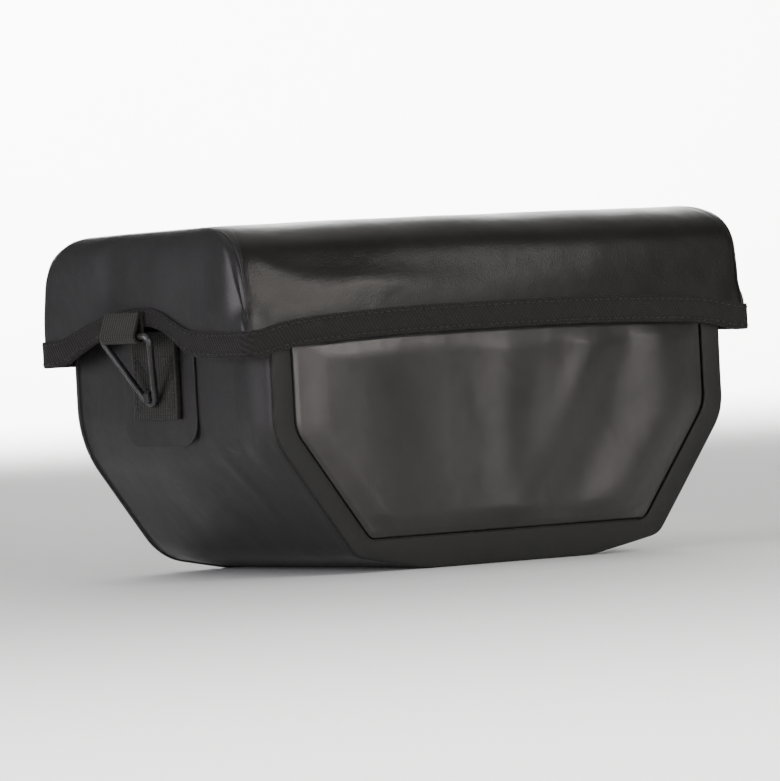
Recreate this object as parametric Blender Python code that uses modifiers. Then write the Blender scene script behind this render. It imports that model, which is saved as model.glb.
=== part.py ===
"""A bicycle handlebar bag of welded coated fabric, standing closed on its flat base.

Metres, +Z up. X runs along the handlebar, the front of the bag faces -Y and the bar side +Y.
The origin is on the ground, in the middle of the bag's width and of its whole depth.
Every panel is a thin wall of its own, and the bag is hollow under its lid.
"""

import math

import bmesh
import bpy
from mathutils import Matrix, Vector

# Lid, measured over the tape that binds its lower edge. It stands out past the body at each side
SIDE_OVERHANG = 0.018
LID_DEPTH = 0.1825
LID_HEIGHT = 0.1745
LID_WALL = 0.0016
TOP_FALL = 0.004
CROWN = 0.001
EDGE_RISE = 0.0235
FRONT_EDGE_REACH = 0.038
REAR_EDGE_RUN = 0.028
END_EDGE_RUN = 0.007
LEFT_LEAN = 0.0085
RIGHT_LEAN = 0.003
END_LEAN = 0.001
HEM_CORNER_RADIUS = 0.0035
SPRING_CORNER_RADIUS = 0.005
TOP_CORNER_RADIUS = 0.008

# Tape folded over the lid's lower edge
HEM_LOW = 0.107
HEM_HEIGHT = 0.0135
HEM_PINCH = 0.004
TAPE = 0.0010
FRONT_ARCH = 0.0095
SIDE_ARCH = 0.0185

# Body: a front panel, a back panel and one band round the sides and bottom
BODY_WIDTH = 0.278
RIM_DROP = 0.001
KINK_HEIGHT = 0.068
BASE_WIDTH = 0.188
BASE_RISE = 0.008
FLAT_WIDTH = 0.100
BAND_WALL = 0.002
BACK_WALL = 0.003
FRONT_GAP = 0.0004
FRONT_KINK_RADIUS = 0.028
REAR_KINK_RADIUS = 0.055
FRONT_BASE_RADIUS = 0.012
REAR_BASE_RADIUS = 0.032
FLAT_RADIUS = 0.090
SIDE_DISH = 0.0012
DISH_PLACE = 0.10
DISH_BREADTH = 0.06
SIDE_SWELL = 0.0015
SWELL_PLACE = 0.75

# Front panel: a matt border and a glossy panel that swells out of its window
BORDER_WALL = 0.002
BORDER_WIDTH = 0.0115
BORDER_FOOT = 0.0158
WINDOW_HEAD = 0.008
WINDOW_KINK_RADIUS = 0.018
WINDOW_CORNER_RADIUS = 0.008
GLOSS_WALL = 0.002
GLOSS_FLANGE = 0.005
GLOSS_SWELL = 0.0036
GLOSS_ROLL = 0.012
GLOSS_HEAD_ROLL = 0.022
GLOSS_FOLD = 0.0015

# Side fastening: a ring in a webbing loop on the lid, and a webbing tab with a hook on the body
FASTENER_Y = 0.008
WEBBING = 0.0015
LOOP_WIDTH = 0.030
LOOP_SHIFT = 0.002
LOOP_DROP = 0.0075
LOOP_HEIGHT = 0.015
LOOP_WRAP = (20, -180)
RING_WIRE = 0.0034
RING_WIDTH = 0.044
RING_DROP = 0.033
RING_CORNER_RADIUS = 0.003
RING_TIP_RADIUS = 0.0048
TAB_WIDTH = 0.038
TAB_LOW = 0.0795
TAB_HEAD = 0.0055
TAB_WALL = 0.0025
PATCH_WIDTH = 0.062
PATCH_LOW = 0.066
PATCH_HEAD = 0.003
PATCH_WALL = 0.001
PATCH_CORNER_RADIUS = 0.012
HOOK_WIDTH = 0.0045
HOOK_PLATE_HEIGHT = 0.012
HOOK_PLATE = 0.0010
HOOK_NOSE = 0.0012
HOOK_DROP = 0.0008
HOOK_CHAMFER = 0.0013

# Plate on the back that carries the bag on a handlebar adapter
PLATE_WIDTH = 0.120
PLATE_HEIGHT = 0.066
PLATE_LOW = 0.030
PLATE_PROUD = 0.006
PLATE_EDGE = 0.002

# Clearance between neighbouring pieces
FIT = 0.0003
SEAM_GAP = 0.0004

# How finely the curved panels are divided. Rows crowd towards a panel's foot by the power ROW_CROWD
LONG_STEPS = 14
SHORT_STEPS = 14
CORNER_STEPS = 4
ARC_STEPS = 5
LEVEL_SHARE = 0.25
TOP_SHARES = (0.5, 0.0)
BAND_STEPS = 10
BAND_RUNS = (4, 3, 1, 3, 1, 3, 4)
GLOSS_ROWS = 13
GLOSS_COLUMNS = 28
PATCH_ROWS = 6
PATCH_COLUMNS = 12
ROW_CROWD = 1.3
TAB_STEPS = 4
WRAP_STEPS = 8
EYE_STEPS = 12

# Height of the hem's lower edge over its corners: share of the way along, share of the arch
FRONT_HEM = [(0.00, 1.00), (0.40, 0.94), (0.65, 0.80), (0.82, 0.62), (0.93, 0.32), (1.00, 0.00)]
SIDE_HEM = [
    (0.00, 0.08), (0.13, 0.10), (0.25, 0.19), (0.31, 0.45), (0.38, 0.83), (0.46, 1.02),
    (0.58, 0.98), (0.71, 0.70), (0.77, 0.54), (0.84, 0.30), (0.91, 0.06), (1.00, 0.00),
]

# Soft upright folds of the glossy panel, drawn together towards its foot by FOLD_FAN:
# middle and breadth as shares of the body's half width, height as a share of GLOSS_FOLD
FOLDS = [
    (-0.70, 0.13, 0.8), (-0.36, 0.15, -0.4), (0.01, 0.09, 1.0),
    (0.26, 0.10, -0.5), (0.475, 0.08, 1.0), (0.86, 0.085, 0.8),
]
FOLD_FAN = 0.62

# Sizes that follow from the ones above
LID_WIDTH = BODY_WIDTH + 2 * SIDE_OVERHANG
HEM_THICKNESS = 2 * TAPE + 2 * FIT + LID_WALL
BODY_REAR_SETBACK = HEM_THICKNESS + FIT
DEPTH = LID_DEPTH + PLATE_PROUD
LID_FRONT = -DEPTH / 2
LID_REAR = LID_FRONT + LID_DEPTH
LID_MIDDLE = (LID_FRONT + LID_REAR) / 2
BODY_FRONT = LID_FRONT + HEM_THICKNESS + FRONT_GAP
BODY_REAR = LID_REAR - BODY_REAR_SETBACK
BAND_FRONT = BODY_FRONT + BORDER_WALL + FIT
BAND_REAR = BODY_REAR - BACK_WALL - FIT
SPRING_HEIGHT = LID_HEIGHT - EDGE_RISE
LEAN_HEIGHT = HEM_LOW + FRONT_ARCH + HEM_HEIGHT
COVER_INSET = TAPE + FIT
BODY_HEIGHT = LEAN_HEIGHT - RIM_DROP
WINDOW_TOP = BODY_HEIGHT - WINDOW_HEAD
LOOP_LOW = HEM_LOW + SIDE_ARCH - LOOP_DROP
TAB_HEIGHT = BODY_HEIGHT - TAB_HEAD - TAB_LOW
PATCH_HEIGHT = BODY_HEIGHT - PATCH_HEAD - PATCH_LOW
FASTENER = LID_MIDDLE + FASTENER_Y
INSIDE = Vector((0, LID_MIDDLE, LID_HEIGHT / 2))


def clear_scene():
    for obj in list(bpy.data.objects):
        bpy.data.objects.remove(obj)


def collection(name):
    made = bpy.data.collections.new(name)
    bpy.context.scene.collection.children.link(made)
    return made


def material(name, colour, roughness, metallic=0.0):
    made = bpy.data.materials.new(name)
    made.use_nodes = True
    shader = made.node_tree.nodes["Principled BSDF"]
    shader.inputs["Base Color"].default_value = (*colour, 1)
    shader.inputs["Roughness"].default_value = roughness
    shader.inputs["Metallic"].default_value = metallic
    return made


def add(name, data, finish):
    obj = bpy.data.objects.new(name, data)
    data.materials.append(finish)
    BAG.objects.link(obj)
    return obj


def mix(low, high, share):
    return low + (high - low) * share


def smooth(share):
    share = min(1.0, max(0.0, share))
    return share * share * (3 - 2 * share)


def read_table(rows, place):
    """The value at a place, on a smooth curve through the rows."""
    slopes = []
    for index in range(len(rows)):
        before = rows[max(0, index - 1)]
        after = rows[min(len(rows) - 1, index + 1)]
        slopes.append((after[1] - before[1]) / (after[0] - before[0]))
    for index in range(len(rows) - 1):
        start, end = rows[index], rows[index + 1]
        if place <= end[0] or index == len(rows) - 2:
            run = end[0] - start[0]
            t = min(1.0, max(0.0, (place - start[0]) / run))
            return (
                (2 * t**3 - 3 * t**2 + 1) * start[1]
                + (t**3 - 2 * t**2 + t) * run * slopes[index]
                + (3 * t**2 - 2 * t**3) * end[1]
                + (t**3 - t**2) * run * slopes[index + 1]
            )


def rounded(corners, radii, closed=False, runs=None):
    """A flat path through the corners, each turned with an arc of its radius. Runs divide its straights."""
    path = []
    count = len(corners)
    for index, corner in enumerate(corners):
        here = Vector(corner)
        if not closed and index in (0, count - 1):
            bend = [here]
        else:
            to_last = (Vector(corners[index - 1]) - here).normalized()
            to_next = (Vector(corners[(index + 1) % count]) - here).normalized()
            half = to_last.angle(to_next) / 2
            centre = here + (to_last + to_next).normalized() * radii[index] / math.sin(half)
            start = here + to_last * radii[index] / math.tan(half) - centre
            end = here + to_next * radii[index] / math.tan(half) - centre
            turn = start.angle_signed(end)
            bend = []
            for step in range(ARC_STEPS + 1):
                angle = -turn * step / ARC_STEPS
                bend.append(centre + Matrix.Rotation(angle, 2) @ start)
        if runs and path:
            pieces = runs[index - 1]
            last = path[-1]
            path += [last.lerp(bend[0], step / pieces) for step in range(1, pieces)]
        path += bend
    return path


# Flat plates and strips: an outline, with or without holes, given a thickness

def plate(name, outlines, thickness, finish, place, turn):
    """outlines are closed flat paths, the first one outside and the others its holes."""
    curve = bpy.data.curves.new(name, "CURVE")
    curve.dimensions = "2D"
    curve.fill_mode = "BOTH"
    curve.extrude = thickness / 2
    for outline in outlines:
        spline = curve.splines.new("POLY")
        spline.points.add(len(outline) - 1)
        for point, flat in zip(spline.points, outline):
            point.co = (flat.x, flat.y, 0, 1)
        spline.use_cyclic_u = True
    obj = add(name, curve, finish)
    obj.location = place
    obj.rotation_euler = turn
    return obj


FACING_FRONT = (math.pi / 2, 0, 0)


# Sheets: a grid moved to where the panel's outer face runs, then given its wall

def sheet(name, sections, wall, finish, outwards=False):
    """sections are rows of points, all of one length. The wall grows into the bag, or outwards."""
    bm = bmesh.new()
    rows, columns = len(sections), len(sections[0])
    bmesh.ops.create_grid(bm, x_segments=columns - 1, y_segments=rows - 1, size=1)
    for vertex in bm.verts:
        column = round((vertex.co.x + 1) / 2 * (columns - 1))
        row = round((vertex.co.y + 1) / 2 * (rows - 1))
        vertex.co = sections[row][column]
    bm.normal_update()
    facing = sum(face.normal.dot(face.calc_center_median() - INSIDE) for face in bm.faces)
    if facing < 0:
        bmesh.ops.reverse_faces(bm, faces=bm.faces)
    mesh = bpy.data.meshes.new(name)
    bm.to_mesh(mesh)
    bm.free()
    obj = add(name, mesh, finish)
    solid = obj.modifiers.new("Wall", "SOLIDIFY")
    solid.thickness = wall
    solid.offset = 1 if outwards else -1
    solid.use_even_offset = True
    return obj


# Body

def body_outline(depth_share, inset=0.0, top=BODY_HEIGHT):
    """Right half to left half of the body seen from the front, as x and z, inset from its face."""
    kink = mix(FRONT_KINK_RADIUS, REAR_KINK_RADIUS, depth_share)
    base = mix(FRONT_BASE_RADIUS, REAR_BASE_RADIUS, depth_share)
    slope = Vector((BODY_WIDTH - BASE_WIDTH, 2 * (KINK_HEIGHT - BASE_RISE)))
    slide = inset * math.tan(slope.angle(Vector((0, 1))) / 2)
    side = BODY_WIDTH / 2 - inset
    half = [
        (side, top),
        (side, KINK_HEIGHT + slide),
        (BASE_WIDTH / 2 - inset / 2, BASE_RISE + inset),
        (FLAT_WIDTH / 2, inset),
    ]
    corners = half + [(-x, z) for x, z in reversed(half)]
    radii = [0, max(kink - inset, FIT), max(base - inset, FIT), FLAT_RADIUS]
    return rounded(corners, radii + radii[::-1], runs=BAND_RUNS)


def side_offset(depth_share, z):
    """How far the side stands out of its straight line: hollow behind the front seam, full further back."""
    upright = smooth(2 * z / KINK_HEIGHT - 1)
    dish = SIDE_DISH * math.exp(-(((depth_share - DISH_PLACE) / DISH_BREADTH) ** 2))
    forward = math.sin(math.pi / 2 * smooth(depth_share / SWELL_PLACE))
    rearward = smooth((1 - depth_share) / SWELL_PLACE * 2)
    return upright * (SIDE_SWELL * forward * rearward - dish * smooth(2 * depth_share / DISH_PLACE))


def side_x(y, z):
    """Outer face of the body's right side."""
    return BODY_WIDTH / 2 + side_offset((y - BAND_FRONT) / (BAND_REAR - BAND_FRONT), z)


def side_band():
    sections = []
    for step in range(BAND_STEPS + 1):
        share = step / BAND_STEPS
        y = mix(BAND_FRONT, BAND_REAR, share)
        outline = body_outline(share)
        sections.append([Vector((x + math.copysign(side_offset(share, z), x), y, z)) for x, z in outline])
    return sheet("body_side_band", sections, BAND_WALL, MATT_FABRIC)


def window_outline(spare=0.0):
    """Window in the front border, spread by spare beyond its edge."""
    inset = BORDER_WIDTH - spare
    slope = Vector((BODY_WIDTH - BASE_WIDTH, 2 * (KINK_HEIGHT - BASE_RISE)))
    lean = slope.angle(Vector((0, 1)))
    side = BODY_WIDTH / 2 - inset
    kink = KINK_HEIGHT + inset * math.tan(lean / 2)
    foot = BORDER_FOOT - spare
    run = (kink - foot) * math.tan(lean)
    half = [(side, WINDOW_TOP + spare), (side, kink), (side - run, foot)]
    corners = half + [(-x, z) for x, z in reversed(half)]
    radii = [WINDOW_CORNER_RADIUS, WINDOW_KINK_RADIUS, WINDOW_CORNER_RADIUS + spare]
    return corners, radii + radii[::-1]


def front_border():
    outer = [Vector((x, z)) for x, z in body_outline(0.0)]
    corners, radii = window_outline()
    window = rounded(corners, radii, closed=True)
    place = (0, BODY_FRONT + BORDER_WALL / 2, 0)
    return plate("body_front_border", [outer, window], BORDER_WALL, MATT_FABRIC, place, FACING_FRONT)


def half_width(path, z):
    """Widest place of a closed path at a height."""
    reach = 0.0
    for start, end in zip(path, path[1:] + path[:1]):
        if start.y != end.y and min(start.y, end.y) <= z <= max(start.y, end.y):
            reach = max(reach, mix(start.x, end.x, (z - start.y) / (end.y - start.y)))
    return reach


def gloss_fold(x, z):
    """How far the soft upright folds stand out at a place, as a share."""
    spread = mix(FOLD_FAN, 1.0, z / WINDOW_TOP)
    place = x / (BODY_WIDTH / 2)
    depth = 0.0
    for middle, width, share in FOLDS:
        depth += share * math.exp(-(((place - middle * spread) / width) ** 2))
    return depth


def gloss_panel():
    """The glossy panel: a flange behind the border, and a face that swells out through its window."""
    window = rounded(*window_outline(-FIT), closed=True)
    foot, top = BORDER_FOOT + FIT, WINDOW_TOP - FIT
    flat = BODY_FRONT + BORDER_WALL + FIT
    heights = [foot + (top - foot) * (row / GLOSS_ROWS) ** ROW_CROWD for row in range(GLOSS_ROWS)] + [top]
    shares = [
        math.sin(mix(-1, 1, column / GLOSS_COLUMNS) * math.pi / 2) for column in range(GLOSS_COLUMNS + 1)
    ]
    sections = []
    for z in [foot - GLOSS_FLANGE] + heights + [top + GLOSS_FLANGE]:
        edge = half_width(window, min(max(z, foot + FIT / 10), top - FIT / 10))
        row = []
        for share in shares:
            inner = min(edge * (1 - abs(share)), z - foot)
            roll = smooth(inner / GLOSS_ROLL) * smooth((top - z) / GLOSS_HEAD_ROLL)
            swell = GLOSS_SWELL + GLOSS_FOLD * gloss_fold(edge * share, z)
            row.append(Vector((edge * share, flat - roll * swell, z)))
        wing = Vector((GLOSS_FLANGE, 0, 0))
        sections.append([row[0] - wing] + row + [row[-1] + wing])
    return sheet("body_front_gloss", sections, GLOSS_WALL, GLOSS_FABRIC)


def back_panel():
    outline = [Vector((x, z)) for x, z in body_outline(1.0)]
    place = (0, BODY_REAR - BACK_WALL / 2, 0)
    return plate("body_back", [outline], BACK_WALL, MATT_FABRIC, place, FACING_FRONT)


def mount_plate():
    low = BODY_REAR + FIT
    thickness = LID_REAR + PLATE_PROUD - low
    bpy.ops.mesh.primitive_cube_add(size=1)
    obj = bpy.context.active_object
    obj.data.transform(Matrix.Diagonal((PLATE_WIDTH, thickness, PLATE_HEIGHT, 1)))
    for owner in list(obj.users_collection):
        owner.objects.unlink(obj)
    BAG.objects.link(obj)
    obj.name = "mount_plate"
    obj.data.materials.append(HARD_PLASTIC)
    obj.location = (0, low + thickness / 2, PLATE_LOW + PLATE_HEIGHT / 2)
    bevel = obj.modifiers.new("Edges", "BEVEL")
    bevel.width = PLATE_EDGE
    bevel.segments = 2
    return obj


# Lid: columns run round it, and levels run from its hem over the edge to the middle of its top

def column_list():
    """Each column as the side of the lid that it is on, and its share of the way along that side."""
    made = []
    runs = (("front", LONG_STEPS), ("right", SHORT_STEPS), ("rear", LONG_STEPS), ("left", SHORT_STEPS))
    for side, steps in runs:
        made += [(side, step / steps) for step in range(steps + 1)]
        made += [(side + "_corner", step / CORNER_STEPS) for step in range(1, CORNER_STEPS)]
    return made


def plan_point(column, half_width, front, rear, radius):
    """Where a column meets a rounded rectangle, and which way is out there."""
    side, share = column
    x, y = half_width - radius, (front + radius, rear - radius)
    turns = {
        "front": ((mix(-x, x, share), front), -90),
        "right": ((half_width, mix(y[0], y[1], share)), 0),
        "rear": ((mix(x, -x, share), rear), 90),
        "left": ((-half_width, mix(y[1], y[0], share)), 180),
    }
    if side in turns:
        (px, py), angle = turns[side]
        return Vector((px, py)), Vector((math.cos(math.radians(angle)), math.sin(math.radians(angle))))
    centre, start = {
        "front_corner": ((x, y[0]), -90),
        "right_corner": ((x, y[1]), 0),
        "rear_corner": ((-x, y[1]), 90),
        "left_corner": ((-x, y[0]), 180),
    }[side]
    angle = math.radians(start + 90 * share)
    out = Vector((math.cos(angle), math.sin(angle)))
    return Vector(centre) + out * radius, out


def arch_share(column):
    """Share of the side arch that the hem has at a column."""
    side, share = column
    if side == "right":
        return read_table(SIDE_HEM, share)
    if side == "left":
        return read_table(SIDE_HEM, 1 - share)
    return SIDE_HEM[0][1] if side in ("front_corner", "left_corner") else 0.0


def hem_low(column):
    side, share = column
    if side == "front":
        corner = SIDE_ARCH * SIDE_HEM[0][1]
        return HEM_LOW + max(corner, FRONT_ARCH * read_table(FRONT_HEM, abs(2 * share - 1)))
    return HEM_LOW + SIDE_ARCH * arch_share(column)


def hem_top(column):
    return hem_low(column) + HEM_HEIGHT - HEM_PINCH * max(0.0, arch_share(column))


def front_lean(column):
    """How far the lid's front leans back by its spring line, less towards the bag's right."""
    side, share = column
    if side == "front":
        return mix(LEFT_LEAN, RIGHT_LEAN, smooth(share))
    return RIGHT_LEAN if side in ("front_corner", "right", "right_corner") else LEFT_LEAN


def wall_point(column, z, offset=0.0):
    """A point of the lid's upright wall at a height, moved out from its outer face."""
    rise = max(0.0, (z - LEAN_HEIGHT) / (SPRING_HEIGHT - LEAN_HEIGHT))
    point, out = plan_point(
        column,
        LID_WIDTH / 2 - COVER_INSET - END_LEAN * rise,
        LID_FRONT + COVER_INSET + front_lean(column) * rise,
        LID_REAR - COVER_INSET,
        mix(HEM_CORNER_RADIUS, SPRING_CORNER_RADIUS, rise),
    )
    point += out * offset
    return Vector((*point, z))


def top_height(y):
    return LID_HEIGHT - TOP_FALL * (y - LID_FRONT) / LID_DEPTH


def edge_point(column, angle, k):
    """A point of the rounded edge at an angle, or of the top at a share k of the way out from its spine."""
    turn = 1 - math.cos(angle)
    half = LID_WIDTH / 2 - COVER_INSET - END_LEAN - END_EDGE_RUN * turn
    front = LID_FRONT + COVER_INSET + mix(front_lean(column), FRONT_EDGE_REACH, turn)
    rear = LID_REAR - COVER_INSET - REAR_EDGE_RUN * turn
    radius = mix(SPRING_CORNER_RADIUS, TOP_CORNER_RADIUS, angle / (math.pi / 2))
    middle = (front + rear) / 2
    spine = half - (rear - front) / 2
    point, _ = plan_point(
        column, mix(spine, half, k), mix(middle, front, k), mix(middle, rear, k), radius * k
    )
    z = top_height(point.y) - EDGE_RISE * (1 - math.sin(angle)) + CROWN * (1 - k * k)
    return Vector((*point, z))


def lid_levels(column):
    """The lid's outer face along one column, from the edge inside the hem to the spine of the top."""
    top = hem_top(column)
    above = max(LEAN_HEIGHT, mix(top, SPRING_HEIGHT, LEVEL_SHARE))
    made = [wall_point(column, z) for z in (hem_low(column) + COVER_INSET, top, above)]
    made += [edge_point(column, math.pi / 2 * step / ARC_STEPS, 1.0) for step in range(ARC_STEPS + 1)]
    made += [edge_point(column, math.pi / 2, k) for k in TOP_SHARES]
    return made


def lid_cells(outer, columns, levels):
    """Corner keys of each cell of the lid, by column and level. A cell that shrinks on the spine loses one."""
    first = {}
    same = {key: first.setdefault(tuple(round(n, 6) for n in point), key) for key, point in outer.items()}
    cells = {}
    for column in range(columns):
        after = (column + 1) % columns
        for level in range(levels - 1):
            corners = [(column, level), (after, level), (after, level + 1), (column, level + 1)]
            cells[column, level] = list(dict.fromkeys(same[corner] for corner in corners))
    return cells


def thick_panel(name, cells, outer, inner, finish):
    """A closed wall between an outer and an inner face that share their cells."""
    bm = bmesh.new()
    rows = [{}, {}]
    for keys in cells:
        for key in keys:
            for made, places in zip(rows, (outer, inner)):
                if key not in made:
                    made[key] = bm.verts.new(places[key])
    sides = {}
    for keys in cells:
        for start, end in zip(keys, keys[1:] + keys[:1]):
            sides[start, end] = True
        bm.faces.new([rows[0][key] for key in keys])
        bm.faces.new([rows[1][key] for key in reversed(keys)])
    for start, end in sides:
        if (end, start) not in sides:
            bm.faces.new([rows[0][end], rows[0][start], rows[1][start], rows[1][end]])
    bmesh.ops.remove_doubles(bm, verts=bm.verts, dist=1e-6)
    bmesh.ops.recalc_face_normals(bm, faces=bm.faces)
    mesh = bpy.data.meshes.new(name)
    bm.to_mesh(mesh)
    bm.free()
    return add(name, mesh, finish)


def lid_surface(columns):
    """Outer and inner points of the lid by column and level, the inner ones a wall below the outer."""
    outer = {}
    for index, column in enumerate(columns):
        for level, point in enumerate(lid_levels(column)):
            outer[index, level] = point
    levels = len(lid_levels(columns[0]))
    cells = lid_cells(outer, len(columns), levels)
    bm = bmesh.new()
    owner = {}
    for key in (key for keys in cells.values() for key in keys):
        if key not in owner:
            owner[key] = bm.verts.new(outer[key])
    for keys in cells.values():
        bm.faces.new([owner[key] for key in keys])
    bm.normal_update()
    inner = {}
    for key, vertex in owner.items():
        out = vertex.normal.copy()
        if key[1] >= levels - 2:
            out = Vector((0, 0, 1))
        if key[1] <= 1:
            out.z = 0
        inner[key] = outer[key] - out.normalized() * LID_WALL
    bm.free()
    return outer, inner, cells, levels


def pulled_in(points, cells, gap):
    """The points with those on the open border of the cells drawn in by a gap."""
    moved = dict(points)
    used = [key for keys in cells for key in keys]
    for index in {key[0] for key in used}:
        tops = [key[1] for key in used if key[0] == index]
        high = (index, max(tops))
        below = (index, max(tops) - 1)
        moved[high] = points[high] + (points[below] - points[high]).normalized() * gap
    return moved


def lid_panels():
    """The cover over front, top and rear, and an end panel at each side, with a fine seam between them."""
    columns = column_list()
    outer, inner, cells, levels = lid_surface(columns)
    seam_level = levels - len(TOP_SHARES) - 2
    front_end, right_start = LONG_STEPS, LONG_STEPS + 2 * CORNER_STEPS + SHORT_STEPS
    rear_end = right_start + LONG_STEPS
    ends = {"right": range(front_end, right_start), "left": range(rear_end, len(columns))}
    taken = set()
    for side, members in ends.items():
        chosen = [cells[column, level] for column in members for level in range(seam_level)]
        taken |= {(column, level) for column in members for level in range(seam_level)}
        edges = (members[0], (members[-1] + 1) % len(columns))
        shapes = []
        for points in (outer, inner):
            moved = pulled_in(points, chosen, SEAM_GAP)
            for edge, step in zip(edges, (1, -1)):
                beside = (edge + step) % len(columns)
                for level in range(seam_level + 1):
                    here, there = moved[edge, level], points[beside, level]
                    moved[edge, level] = here + (there - here).normalized() * SEAM_GAP
            shapes.append(moved)
        thick_panel(f"lid_end_{side}", chosen, shapes[0], shapes[1], MATT_FABRIC)
    rest = [keys for key, keys in cells.items() if key not in taken]
    return thick_panel("lid_cover", rest, outer, inner, MATT_FABRIC)


def hem_tape():
    """Tape folded over the lid's lower edge all the way round, as a channel."""
    bm = bmesh.new()
    outside = COVER_INSET
    inside = -LID_WALL - COVER_INSET
    rings = []
    for column in column_list():
        low, top = hem_low(column), hem_top(column)
        channel = [
            (outside, low), (outside, top), (FIT, top), (FIT, low + TAPE),
            (inside + TAPE, low + TAPE), (inside + TAPE, top), (inside, top), (inside, low),
        ]
        rings.append([bm.verts.new(wall_point(column, z, offset)) for offset, z in channel])
    for ring, after in zip(rings, rings[1:] + rings[:1]):
        for index in range(len(ring)):
            beside = (index + 1) % len(ring)
            bm.faces.new([ring[index], ring[beside], after[beside], after[index]])
    bmesh.ops.recalc_face_normals(bm, faces=bm.faces)
    mesh = bpy.data.meshes.new("lid_hem_tape")
    bm.to_mesh(mesh)
    bm.free()
    return add("lid_hem_tape", mesh, WEBBING_CLOTH)


# Side fastening, made for the right side and mirrored by its sign

def loop_back():
    """Back of the webbing loop, clear of the tape on the lid's end."""
    return LID_WIDTH / 2 + FIT


def ring_bar():
    """Middle of the ring's straight bar, as x and z."""
    grip = RING_WIRE / 2 + FIT + WEBBING
    return Vector((loop_back() + grip, LOOP_LOW + grip))


def tab_x(y, z):
    """Back of the webbing tab, clear of the patch under it."""
    return side_x(y, z) + FIT + PATCH_WALL + FIT


def tab_face():
    """Outer face of the webbing tab beside the ring's tip."""
    return tab_x(FASTENER, ring_bar().y - RING_DROP) + TAB_WALL


def ring_tip():
    """Middle of the wire at the ring's lower tip, as x and z."""
    return Vector((tab_face() + FIT + RING_WIRE / 2, ring_bar().y - RING_DROP))


def webbing_loop(side, name):
    bar = ring_bar()
    hole = RING_WIRE / 2 + FIT
    grip = hole + WEBBING
    back, top = loop_back(), LOOP_LOW + LOOP_HEIGHT
    turn = [math.radians(mix(*LOOP_WRAP, step / WRAP_STEPS)) for step in range(WRAP_STEPS + 1)]
    round_eye = [math.tau * step / EYE_STEPS for step in range(EYE_STEPS)]
    outline = [Vector((back, top)), Vector((back + 2 * WEBBING, top))]
    outline += [bar + Vector((math.cos(angle), math.sin(angle))) * grip for angle in turn]
    eye = [bar + Vector((math.cos(angle), math.sin(angle))) * hole for angle in round_eye]
    outlines = [[Vector((side * p.x, p.y)) for p in path] for path in (outline, eye)]
    place = (0, FASTENER + LOOP_SHIFT, 0)
    return plate(name, outlines, LOOP_WIDTH, WEBBING_CLOTH, place, FACING_FRONT)


def fastening_ring(side, name):
    """A triangle of wire whose bar lies in the loop and whose tip leans in to the hook."""
    bar, tip = ring_bar(), ring_tip()
    down = tip - bar
    half = RING_WIDTH / 2 - RING_WIRE / 2 - RING_CORNER_RADIUS
    lean = math.atan2(half, down.length)
    reach = half + RING_CORNER_RADIUS / math.tan((math.pi / 2 - lean) / 2)
    drop = down.length + RING_TIP_RADIUS / math.sin(lean) - RING_TIP_RADIUS
    corners = [(-reach, 0), (reach, 0), (0, drop)]
    radii = [RING_CORNER_RADIUS, RING_CORNER_RADIUS, RING_TIP_RADIUS]
    path = rounded(corners, radii, closed=True)
    along = down.normalized()
    curve = bpy.data.curves.new(name, "CURVE")
    curve.dimensions = "3D"
    curve.bevel_depth = RING_WIRE / 2
    curve.bevel_resolution = 2
    spline = curve.splines.new("POLY")
    spline.points.add(len(path) - 1)
    for point, flat in zip(spline.points, path):
        place = bar + along * flat.y
        point.co = (side * place.x, FASTENER + flat.x, place.y, 1)
    spline.use_cyclic_u = True
    return add(name, curve, BLACK_WIRE)


def side_patch(side, name):
    """Welded reinforcement with rounded lower corners, lying on the side."""
    sections = []
    for row in range(PATCH_ROWS + 1):
        z = PATCH_LOW + PATCH_HEIGHT * (row / PATCH_ROWS) ** ROW_CROWD
        lift = max(0.0, 1 - (z - PATCH_LOW) / PATCH_CORNER_RADIUS)
        half = PATCH_WIDTH / 2 - PATCH_CORNER_RADIUS * (1 - math.sqrt(1 - lift**2))
        places = [FASTENER + mix(-half, half, step / PATCH_COLUMNS) for step in range(PATCH_COLUMNS + 1)]
        sections.append([Vector((side * (side_x(y, z) + FIT), y, z)) for y in places])
    return sheet(name, sections, PATCH_WALL, MATT_FABRIC, outwards=True)


def webbing_tab(side, name):
    sections = []
    for row in range(TAB_STEPS + 1):
        z = TAB_LOW + TAB_HEIGHT * row / TAB_STEPS
        places = [FASTENER + TAB_WIDTH * (step / TAB_STEPS - 0.5) for step in range(TAB_STEPS + 1)]
        sections.append([Vector((side * tab_x(y, z), y, z)) for y in places])
    return sheet(name, sections, TAB_WALL, WEBBING_CLOTH, outwards=True)


def ring_hook(side, name):
    """Hook that opens downwards: a plate on the tab, a shank over the ring's tip and a nose before it."""
    tip = ring_tip()
    gap = RING_WIRE / 2 + FIT
    back = tab_face() + FIT / 2
    nose = tip.x + gap
    face = nose + HOOK_NOSE
    shank = tip.y + gap
    low, high = tip.y - HOOK_DROP, shank + RING_WIRE
    corners = [
        (back, shank - FIT), (nose, shank), (nose, low), (face, low), (face, high - HOOK_CHAMFER),
        (face - HOOK_CHAMFER / 2, high), (back + HOOK_PLATE, high),
        (back + HOOK_PLATE, shank + HOOK_PLATE_HEIGHT), (back, shank + HOOK_PLATE_HEIGHT),
    ]
    outline = [Vector((side * x, z)) for x, z in corners]
    return plate(name, [outline], HOOK_WIDTH, HARD_PLASTIC, (0, FASTENER, 0), FACING_FRONT)


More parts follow.
